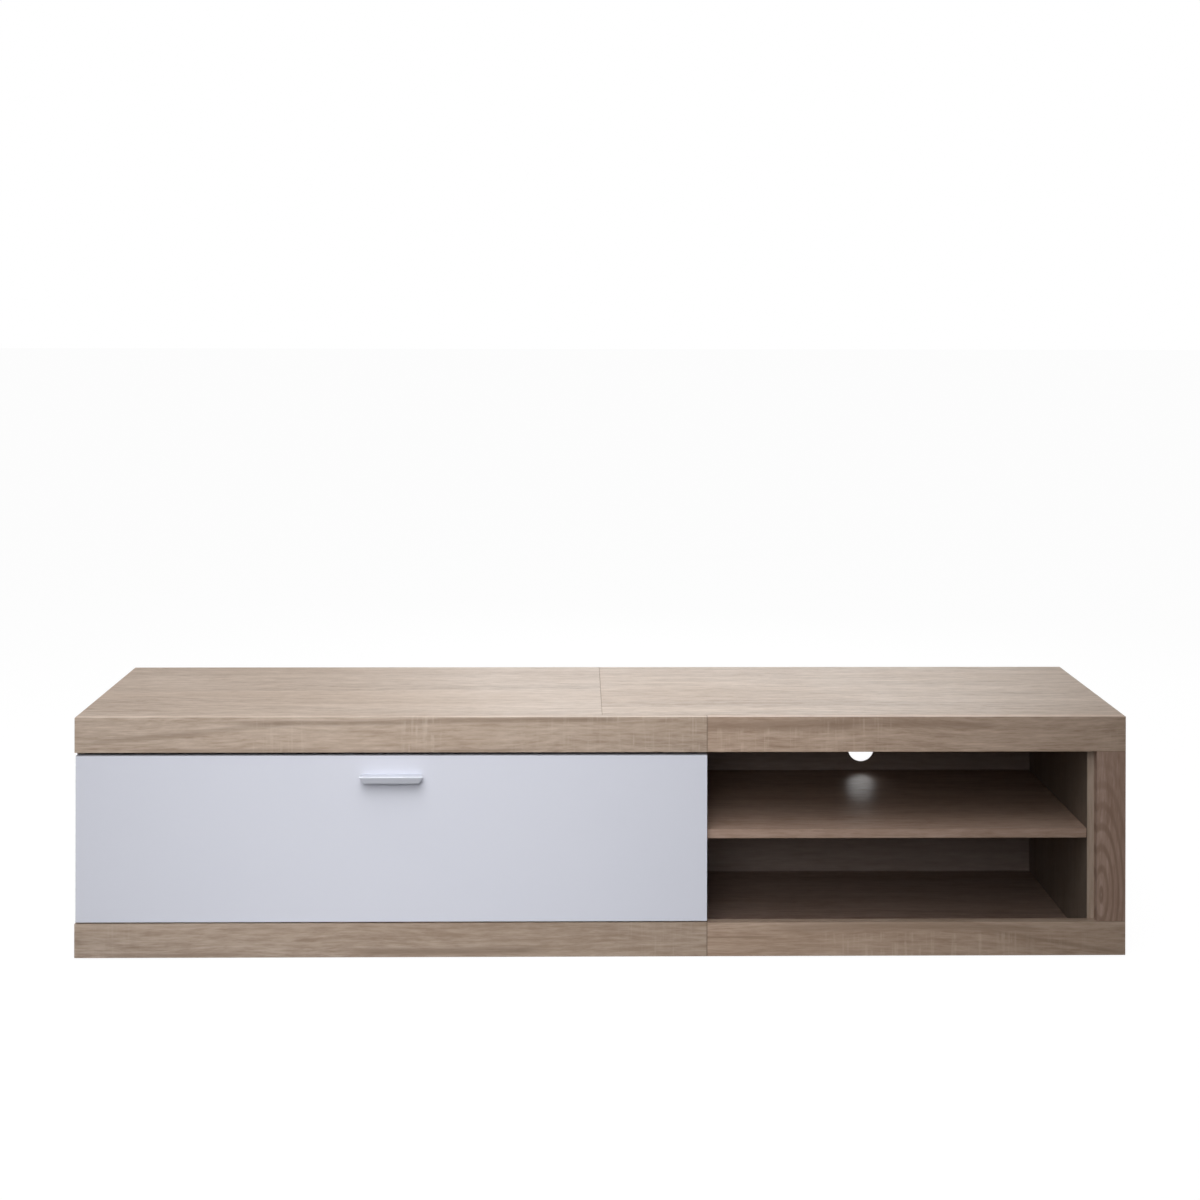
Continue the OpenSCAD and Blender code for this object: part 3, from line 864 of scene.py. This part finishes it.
def carved_box(box: Box, cuts: Sequence[Box] = ()) -> tuple[np.ndarray, np.ndarray, np.ndarray]:
    """Skin of a box with smaller boxes cut out of it.

    The planes of all the boxes divide the space into cells. A cell is solid inside the box and outside every cut,
    and a quad stands on each side where a solid cell meets an empty one.

    Args:
        box: the whole board.
        cuts: what is cut away.

    Returns:
        The points, the quads, and each quad's outward axis as 1, 2 or 3, negative where it looks down the axis.
    """
    planes = []
    for axis in range(3):
        marks = [side[axis] for one in (box, *cuts) for side in (one.low, one.high)]
        planes.append(np.unique(np.round(np.clip(marks, box.low[axis], box.high[axis]), 7)))
    centres = np.meshgrid(*[(p[1:] + p[:-1]) / 2 for p in planes], indexing="ij")
    solid = np.ones(centres[0].shape, bool)
    for cut in cuts:
        inside = [(c > low) & (c < high) for c, low, high in zip(centres, cut.low, cut.high)]
        solid &= ~np.logical_and.reduce(inside)
    padded = np.pad(solid, 1)
    quads, facing = [], []
    unit = np.eye(3, dtype=int)
    for axis in range(3):
        across, up = unit[(axis + 1) % 3], unit[(axis + 2) % 3]
        for sign in (1, -1):
            cells = np.argwhere(padded & ~np.roll(padded, -sign, axis)) - 1
            corner = cells + unit[axis] * (sign > 0)
            ring = [corner, corner + across, corner + across + up, corner + up][::sign]
            quads.append(np.stack(ring, 1))
            facing.append(np.full(len(cells), (axis + 1) * sign))
    lattice = np.concatenate(quads)
    used, index = np.unique(lattice.reshape(-1, 3), axis=0, return_inverse=True)
    points = np.stack([planes[axis][used[:, axis]] for axis in range(3)], 1)
    return points, index.reshape(-1, 4), np.concatenate(facing)


def soften(piece: Piece, radius: float, segments: int = 3) -> None:
    """Rounds a piece's sharp edges.

    Args:
        piece: the object.
        radius: the rounding's radius in metres.
        segments: steps round each edge.
    """
    piece.data.polygons.foreach_set("use_smooth", np.ones(len(piece.data.polygons), bool))
    bevel = piece.modifiers.new("softened_edges", "BEVEL")
    bevel.width = radius
    bevel.segments = segments
    bevel.limit_method = "ANGLE"
    bevel.angle_limit = SHARP
    bevel.harden_normals = True


def arc(centre: tuple[float, float], radius: float, start: float, end: float, steps: int = 5) -> np.ndarray:
    """Points on a round arc: centre + radius * (cos t, sin t), with t from start to end in degrees."""
    t = np.radians(np.linspace(start, end, steps))
    return np.stack([centre[0] + radius * np.cos(t), centre[1] + radius * np.sin(t)], 1)


def lofted(rings: np.ndarray) -> tuple[np.ndarray, list]:
    """A closed skin over rings of points, with the first and last ring capped.

    Args:
        rings: rings x points x 3, every ring running the same way round.

    Returns:
        The points and the faces.
    """
    count, around = rings.shape[:2]
    index = np.arange(count * around).reshape(count, around)
    after = np.roll(index, -1, axis=1)
    sides = np.stack([index[:-1], after[:-1], after[1:], index[1:]], -1).reshape(-1, 4)
    return rings.reshape(-1, 3), [*sides.tolist(), index[0][::-1].tolist(), index[-1].tolist()]


# ---- sub-assemblies


def dress(node: str, material: Material) -> None:
    """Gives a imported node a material.

    Args:
        node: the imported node's name.
        material: what it gets.
    """
    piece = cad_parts[node]
    for held in piece.material_slots:
        held.material = material
    log.info("%s takes %s", node, material.name)


@dataclass
class Board:
    """One board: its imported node, its decor, what is cut out of it and which sides are left raw."""

    node: str
    decor: OakDecor
    cuts: tuple[Box, ...] = ()
    raw_sides: tuple[Side, ...] = ()
    trim: Box | None = None
    radius: float = 0.45 * MM

    def build(self) -> Piece:
        """Skins the board.

        Returns:
            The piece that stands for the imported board.
        """
        box = self.trim or Box.of_node(self.node)
        points, quads, facing = carved_box(box, self.cuts)
        rides = (self.node, "cabinet", "oak_board")
        piece = make_piece(f"{self.node}_board", (points, quads), rides, self.decor.build(box), raw_board())
        piece.data.polygons.foreach_set("material_index", np.isin(facing, self.raw_sides).astype(np.int32))
        soften(piece, self.radius)
        return piece


@dataclass
class Carcass:
    """The fixed boards: tops, sides, divider, floors, shelf, rails, fascias and the right-hand post."""

    hair: float = 0.05 * MM
    groove_slack: float = 0.2 * MM
    groove_room: float = 0.5 * MM
    seam: float = 0.8 * MM
    warm: Triple = (1.0, 0.935, 0.89)

    def groove(self) -> Box:
        """The groove that the back panels stand in, with a little room round them.

        Returns:
            The groove's box.
        """
        left, right = (Box.of_node(node) for node in each(["back_panel"], SIDES))
        room, slack = self.groove_room, self.groove_slack
        low = (left.low[0] - room, left.low[1] - slack, left.low[2])
        return Box(low, (right.high[0] + room, right.high[1] + slack, left.high[2] + room))

    def trimmed(self, node: str, low: Triple = (0.0, 0.0, 0.0), high: Triple = (0.0, 0.0, 0.0)) -> Box:
        """A node's box with faces moved inward by a share of a hair, so it doesn't share a plane with its neighbour."""
        return Box.of_node(node).pulled_in(scaled(low, self.hair), scaled(high, self.hair))

    def tops(self) -> list[Board]:
        """The top boards, left and right.

        Returns:
            Both boards.
        """
        left = OakDecor("oak_top_left", tone=0.97, contrast=0.85, arches=0.0)
        right = replace(left, name="oak_top_right", shift=1.7, tone=(0.97, 0.95, 0.92))
        return [Board(f"top_panel_{s}", d, (self.groove(),), (Side.REAR,)) for s, d in zip(SIDES, (left, right))]

    def fascias(self) -> list[Board]:
        """The strips above and below the two bays, with their streaks, saw marks and painted shade at their seams.

        Returns:
            The four boards.
        """
        # Painted shade: dark strips on both halves where they butt, standing in for the shadow in the joint.
        seam_shade_left, seam_shade_right = PaintedSideStrip(Side.LEFT, 0.76, self.seam), PaintedSideStrip(Side.RIGHT, 0.76, self.seam)
        top_left = OakDecor(
            "oak_top_fascia_left", Grain.FRONT, 3.1, 1.07, painted_strips=(seam_shade_right,),
            marks=(
                Streak(-0.48, -0.20, -0.008, 0.007, 0.50, 0.085),
                Streak(-0.24, 0.36, 0.019, 0.006, 0.60, 0.004),
                Streak(-0.40, -0.14, -0.025, 0.006, 0.40),
                Streak(-0.05, 0.20, -0.027, 0.004, 0.45),
            ),
            sawn=(
                SawPatch(-0.22, -0.16, 0.5), SawPatch(0.03, 0.08, 0.7),
                SawPatch(0.22, 0.35, 0.35), SawPatch(0.38, 0.53, 0.8),
            ),
        )
        top_right = OakDecor(
            "oak_top_fascia_right", Grain.FRONT, 5.4, scaled(self.warm, 1.05), painted_strips=(seam_shade_left,),
            marks=(Streak(-0.36, -0.14, 0.017, 0.014, 0.48), Streak(-0.12, 0.10, 0.020, 0.010, 0.40)),
            sawn=(SawPatch(-0.35, -0.19, 0.8, 0.004), SawPatch(-0.15, -0.04, 0.6), SawPatch(0.30, 0.33, 0.5, 0.0)),
        )
        bottom_left = OakDecor(
            "oak_bottom_fascia_left", Grain.FRONT, 7.3, 0.98, painted_strips=(seam_shade_right,),
            marks=(Streak(-0.45, -0.28, -0.024, 0.005, 0.45), Streak(-0.02, 0.22, -0.021, 0.009, 0.75, 0.01)),
            sawn=(SawPatch(-0.50, -0.44, 0.3), SawPatch(0.40, 0.50, 0.3)),
        )
        # Painted shade: the right bottom fascia's top side is darkened by a strip, as the bay's shadow falls on it.
        bottom_right = OakDecor(
            "oak_bottom_fascia_right", Grain.FRONT, 8.9, scaled(self.warm, 0.97),
            painted_strips=(PaintedSideStrip(Side.TOP, 0.62), replace(seam_shade_left, tone=0.72)),
            marks=(
                Streak(-0.36, -0.28, 0.002, 0.003, 0.60),
                Streak(-0.20, 0.18, 0.018, 0.012, 0.45),
                Streak(0.16, 0.32, 0.006, 0.005, 0.50, -0.14),
            ),
            sawn=(SawPatch(-0.15, 0.16, 0.9, 0.004), SawPatch(0.2, 0.3, 0.4, 0.004)),
        )
        decors = (top_left, top_right, bottom_left, bottom_right)
        return [Board(decor.name.removeprefix("oak_"), decor) for decor in decors]

    def uprights(self) -> list[Board]:
        """The post, the outer sides, the divider and the thin inner side.

        Returns:
            The five boards.
        """
        rings = Rings(-0.10, -0.017, 9.0 * MM, 0.6, reach=0.075)
        post = OakDecor("oak_post", Grain.UPRIGHT_FRONT, 2.3, (0.84, 0.72, 0.70), arches=0.0, marks=(rings,))
        # Painted shade and painted light: the inner side's face is made dark and flat (tone 0.43, contrast 0.6) as
        # painted shade, and its front strip light as painted light.
        painted_lit_front = (PaintedSideStrip(Side.FRONT, 2.1),)
        inner = OakDecor("oak_inner_side", Grain.UPRIGHT, 10.6, 0.43, contrast=0.6, painted_strips=painted_lit_front)
        sides = [OakDecor(f"oak_side_{s}", Grain.UPRIGHT, shift) for s, shift in zip(SIDES, (4.4, 6.1))]
        trim = self.trimmed("side_panel_left", high=(1.0, 0.0, 0.0))
        raw = (Side.REAR, Side.UNDER)
        divider = OakDecor("oak_divider", Grain.UPRIGHT, 9.2)
        return [
            Board("right_post", post),
            Board("side_panel_left", sides[0], (self.groove(),), raw, trim),
            Board("side_panel_right", sides[1], (self.groove(),), raw),
            Board("divider_panel", divider, (), (Side.UNDER,), self.trimmed("divider_panel", (1.0, 0.0, 0.0))),
            Board("inner_side_panel_right", inner),
        ]

    def levels(self) -> list[Board]:
        """The floors, the shelf and the rails.

        Returns:
            The six boards.
        """
        # Painted shade: the right floor, inside the open bay, is made darker and cooler than the left.
        floors = [("left", 11.3, 1.0), ("right", 12.9, (0.60, 0.54, 0.55))]
        boards = [
            Board(
                f"bottom_panel_{side}",
                OakDecor(f"oak_floor_{side}", shift=shift, tone=tone),
                trim=self.trimmed(f"bottom_panel_{side}", (0.0, 0.0, 1.0)),
            )
            for side, shift, tone in floors
        ]
        # Painted shade and painted light: the shelf's faces are made darker and cooler as painted shade, and its front
        # strip lighter as painted light.
        painted_lit_front = (PaintedSideStrip(Side.FRONT, 1.14),)
        shelf = OakDecor("oak_shelf", shift=14.2, tone=(0.65, 0.575, 0.56), painted_strips=painted_lit_front, rough=0.31, specular=0.2)
        boards.append(Board("shelf", shelf, raw_sides=(Side.REAR,)))
        rails = {"top_rail_front": 15.1, "top_rail_rear": 16.4, "hinge_rail": 17.8}
        for node, shift in rails.items():
            decor = OakDecor(f"oak_{node.removeprefix('top_')}", shift=shift)
            boards.append(Board(node, decor, raw_sides=(Side.LEFT, Side.RIGHT)))
        return boards

    def build(self) -> None:
        """Skins every board and prints the back panels."""
        for board in [*self.tops(), *self.fascias(), *self.uprights(), *self.levels()]:
            board.build()
        for node, shift in (("back_panel_left", 19.0), ("back_panel_right", 20.7)):
            # The print is the real decor; its darker, cooler and flatter tone is painted shade for the inside of the
            # bay.
            face = OakDecor(f"{node}_print", Grain.FRONT, shift, tone=(0.74, 0.74, 0.82), contrast=0.5)
            dress(node, Hardboard(f"{node}_hardboard", face, Box.of_node(node).centre()).build())


@dataclass
class Flap:
    """The drop-down front: a foiled board with a notch for each hinge; its handle is made by Handle."""

    skin: float = 1.8 * MM
    notch_width: float = 22.0 * MM
    notch_height: float = 9.0 * MM
    radius: float = 0.5 * MM

    def notches(self, board: Box) -> list[Box]:
        """The notches in the board's lower rear edge, one behind each hinge leaf.

        Args:
            board: the flap's box.

        Returns:
            The notches.
        """
        cuts = []
        for leaf in each(["hinge_leaf"], HINGES):
            middle = Box.of_node(leaf).centre()[0]
            low = (middle - self.notch_width / 2, board.low[1] + self.skin, board.low[2])
            high = (middle + self.notch_width / 2, board.high[1], board.low[2] + self.notch_height)
            cuts.append(Box(low, high))
        return cuts

    def build(self) -> None:
        """Skins the flap."""
        board = Box.of_node("flap")
        points, quads, _ = carved_box(board, self.notches(board))
        rides = ("flap", "flap", "white_front")
        piece = make_piece("flap_front", (points, quads), rides, WhiteFoil().build(board), raw_board())
        middles = points[quads].mean(1)
        edge = 1e-6
        outer = np.any((middles < np.array(board.low) + edge) | (middles > np.array(board.high) - edge), 1)
        piece.data.polygons.foreach_set("material_index", (~outer).astype(np.int32))
        soften(piece, self.radius)


@dataclass
class Handle:
    """A pull folded from sheet: a foot on the flap, a top plate and a tapered front lip."""

    sheet: float = 2.4 * MM
    foot: float = 4.5 * MM
    round_out: float = 1.6 * MM
    round_in: float = 0.8 * MM
    toe: float = 0.6 * MM
    end_round: float = 0.5 * MM
    draw_in: float = 0.35
    back_shy: float = 10.0 * MM
    lip_shy: float = 16.0 * MM
    lean: float = 2.4 * MM

    def profile(self, box: Box) -> np.ndarray:
        """The folded section.

        Args:
            box: the handle's box.

        Returns:
            The section's (y, z) points, anticlockwise seen from the right.
        """
        front, back = box.low[1], box.high[1]
        low, top = box.low[2], box.high[2]
        sheet, out, inner, toe = self.sheet, self.round_out, self.round_in, self.toe
        tip = sheet / 2
        parts = [
            arc((front + out, top - out), out, 90, 180),
            arc((front + self.lean + tip, low + tip), tip, 180, 360, 7),
            arc((front + sheet + inner, top - sheet - inner), inner, 180, 90),
            arc((back - self.foot - inner, top - sheet - inner), inner, 90, 0),
            arc((back - self.foot + toe, low + toe), toe, 180, 270, 4),
            np.array([[back, low], [back, top]]),
        ]
        return np.concatenate(parts)

    def half_width(self, section: np.ndarray, box: Box) -> np.ndarray:
        """Half the width at each point: it widens forward along the plate and narrows down the lip.

        Args:
            section: the section's (y, z) points.
            box: the handle's box.

        Returns:
            Half the width at each of them.
        """
        half = (box.high[0] - box.low[0]) / 2
        forward = np.clip((box.high[1] - section[:, 0]) / (box.high[1] - box.low[1]), 0.0, 1.0)
        down = np.clip((box.high[2] - section[:, 1]) / (box.high[2] - box.low[2]), 0.0, 1.0)
        plate = half - (1.0 - forward) * self.back_shy / 2
        return plate - down * np.where(forward > 0.5, self.lip_shy / 2, 0.0)

    def build(self) -> None:
        """Folds the handle and dresses it."""
        box = Box.of_node("handle")
        section = self.profile(box)
        half = self.half_width(section, box)
        middle = section.mean(0)
        rings = []
        for turn in np.radians([0, 30, 60, 90]):
            inset = self.end_round * (1.0 - math.sin(turn))
            away = section - middle
            reach = np.linalg.norm(away, axis=1, keepdims=True)
            shrunk = middle + away * (1.0 - self.draw_in * inset / np.maximum(reach, 1e-6))
            rings.append((half - self.end_round + self.end_round * math.cos(turn), shrunk))
        centre = box.centre()[0]
        order = [(-1, *ring) for ring in rings] + [(1, *ring) for ring in rings[::-1]]
        loops = np.stack([np.column_stack([centre + side * wide, ring]) for side, wide, ring in order])
        metal = Metal("satin_aluminium", (0.68, 0.70, 0.775), rough=0.42, metallic=0.1, hairlines=0.06)
        piece = make_piece("handle_pull", lofted(loops), ("handle", "flap", "handle_metal"), metal.build())
        piece.data.polygons.foreach_set("use_smooth", np.ones(len(piece.data.polygons), bool))
        piece.modifiers.new("flat_faces_stay_flat", "WEIGHTED_NORMAL").keep_sharp = True


@dataclass
class Fittings:
    """Everything of metal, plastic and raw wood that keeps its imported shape."""

    plated: tuple[str, ...] = (
        *each(["hinge_leaf", "hinge_arm"], HINGES), *each(["stay_bracket", "stay_plate"], SIDES), "shelf_pins",
    )
    bars: tuple[str, ...] = each(["stay_arm"], SIDES)
    bright: tuple[str, ...] = (
        *each(["hinge_pin"], HINGES),
        *each(["hinge_leaf", "hinge_arm", "stay_bracket", "stay_plate", "catch", "handle", "rail", "back"], ["screws"]),
        "strike_plates", "cam_bolts",
    )
    nylon: tuple[str, ...] = (*each(["stay_guide", "magnet_catch"], SIDES), "glides")

    def build(self) -> None:
        """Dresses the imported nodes."""
        zinc = Metal("zinc_plate", (0.58, 0.585, 0.59), rough=0.36, spangle=0.25).build()
        cast = Metal("cast_zinc", (0.42, 0.425, 0.43), rough=0.5, hairlines=0.03, spangle=0.35).build()
        bar = Metal("rolled_bar", (0.60, 0.605, 0.61), rough=0.3, grain=Grain.BACKWARD, hairlines=0.2).build()
        steel = Metal("bright_steel", (0.66, 0.66, 0.655), rough=0.28, hairlines=0.08).build()
        white = Moulded("white_nylon", (0.74, 0.74, 0.71), 0.42).build()
        pad = Moulded("soft_pad", (0.62, 0.64, 0.64), 0.3).build()
        beech = Beech().build()
        finishes = [
            (self.plated, zinc), (("cam_locks",), cast), (self.bars, bar), (self.bright, steel),
            (self.nylon, white), (("flap_bumpers",), pad), (("dowels", "side_spacers"), beech),
        ]
        for nodes, material in finishes:
            for node in nodes:
                dress(node, material)


# ---- studio


@dataclass
class Studio:
    """Pale floor, soft lights, a bright backdrop and the camera."""

    floor_half: float = 40.0
    floor_glow: float = 0.97
    floor_shown: float = 0.06
    floor_bounce: float = 0.22
    backdrop: float = 0.55
    room: float = 0.11
    eye: Triple = (-0.0466, -3.253, 1.1226)
    lens: float = 53.53
    sensor: float = 36.0
    turn: Triple = (90.0 - 0.08, -0.11, -0.775)
    drop: float = -0.2457

    def build(self) -> None:
        """Makes the floor, the lights, the world and the camera."""
        self.floor()
        self.lights()
        self.world()
        self.camera()

    def floor(self) -> None:
        """A wide pale floor that shows near white with a faint shadow, and throws back little light."""
        h = self.floor_half
        mesh = bpy.data.meshes.new("studio_floor")
        mesh.from_pydata([(-h, -h, 0), (h, -h, 0), (h, h, 0), (-h, h, 0)], [], [(0, 1, 2, 3)])
        ground = placed("studio_floor", mesh)
        material = bpy.data.materials.new("pale_floor")
        wire = Wiring(cleared(material))
        path = wire.add("LightPath", {}).outputs
        glow = wire.add("Emission", {"Color": WHITE, "Strength": self.floor_glow})
        shaded = wire.add("BsdfDiffuse", {"Color": opaque((self.floor_shown,) * 3)})
        shown = wire.add("AddShader", {0: glow.outputs[0], 1: shaded.outputs[0]})
        lit = wire.add("BsdfDiffuse", {"Color": opaque((self.floor_bounce,) * 3)})
        seen = path["Is Camera Ray"]
        both = wire.add("MixShader", {0: seen, 1: lit.outputs[0], 2: shown.outputs[0]})
        wire.add("OutputMaterial", {"Surface": both.outputs[0]})
        mesh.materials.append(material)

    def light(
        self, name: str, place: Triple, aim: Triple, size: tuple[float, float], power: float, spread: float = 180.0
    ) -> None:
        """Hangs one soft light.

        Args:
            name: the light's name.
            place: where it hangs.
            aim: what it looks at.
            size: its width and height.
            power: its power in watts.
            spread: how wide its grid lets it shine, in degrees.
        """
        lamp = bpy.data.lights.new(name, "AREA")
        lamp.shape = "RECTANGLE"
        lamp.size, lamp.size_y = size
        lamp.energy = power
        lamp.spread = math.radians(spread)
        holder = placed(name, lamp)
        holder.location = place
        way = np.array(aim) - np.array(place)
        flat = math.hypot(way[0], way[1])
        holder.rotation_euler = Euler((math.atan2(flat, -way[2]), 0.0, math.atan2(-way[0], way[1])))

    def lights(self) -> None:
        """A gridded key from the upper front left, a low fill, overhead softboxes and weak lights round the back."""
        self.light("key", (-0.42, -1.75, 2.45), (-0.40, -0.2, 0.25), (2.2, 2.6), 17.8, 76.0)
        self.light("fill", (-0.5, -3.2, 1.5), (-0.35, -0.2, 0.25), (1.2, 1.0), 2.6, 50.0)
        self.light("overhead_left", (-1.0, 0.0, 2.2), (-0.9, 0.0, 0.4), (1.0, 0.8), 3.2)
        self.light("overhead_right", (0.8, -0.1, 2.2), (0.7, 0.0, 0.4), (1.0, 0.8), 4.0)
        self.light("rear", (0.4, 2.6, 1.4), (0.0, 0.2, 0.2), (2.0, 1.0), 14.0)
        self.light("left_side", (-3.0, 0.6, 1.2), (-0.9, 0.1, 0.2), (1.2, 1.0), 9.0)
        self.light("right_side", (3.0, 0.6, 1.2), (0.9, 0.1, 0.2), (1.2, 1.0), 9.0)

    def world(self) -> None:
        """A room that looks white to the camera, is bright behind and dim all round."""
        world = bpy.data.worlds.new("studio")
        bpy.context.scene.world = world
        wire = Wiring(cleared(world))
        path = wire.add("LightPath", {}).outputs
        way = wire.parts(wire.add("TexCoord", {}).outputs["Generated"])
        behind = wire.ease(way[1], -0.1, 0.5)
        mirrored = wire.times(behind, path["Is Glossy Ray"])
        level = wire.madd(mirrored, self.backdrop, self.room)
        level = wire.math("MAXIMUM", level, path["Is Camera Ray"])
        sky = wire.add("Background", {"Color": WHITE, "Strength": level})
        wire.add("OutputWorld", {"Surface": sky.outputs[0]})

    def camera(self) -> None:
        """A level camera in front, a little left of the middle, with its frame shifted down to the stand."""
        data = bpy.data.cameras.new("camera")
        data.lens = self.lens
        data.sensor_width = self.sensor
        data.shift_y = self.drop
        camera = placed("camera", data)
        camera.location = self.eye
        camera.rotation_euler = Euler([math.radians(a) for a in self.turn])
        bpy.context.scene.camera = camera


def main() -> None:
    """Builds the stand's sub-assemblies and the studio, in order."""
    logging.basicConfig(level=logging.INFO, format="%(message)s")
    bpy.context.scene.view_settings.view_transform = "Standard"
    Studio().build()
    Carcass().build()
    Flap().build()
    Handle().build()
    Fittings().build()


if __name__ == "__main__":
    main()
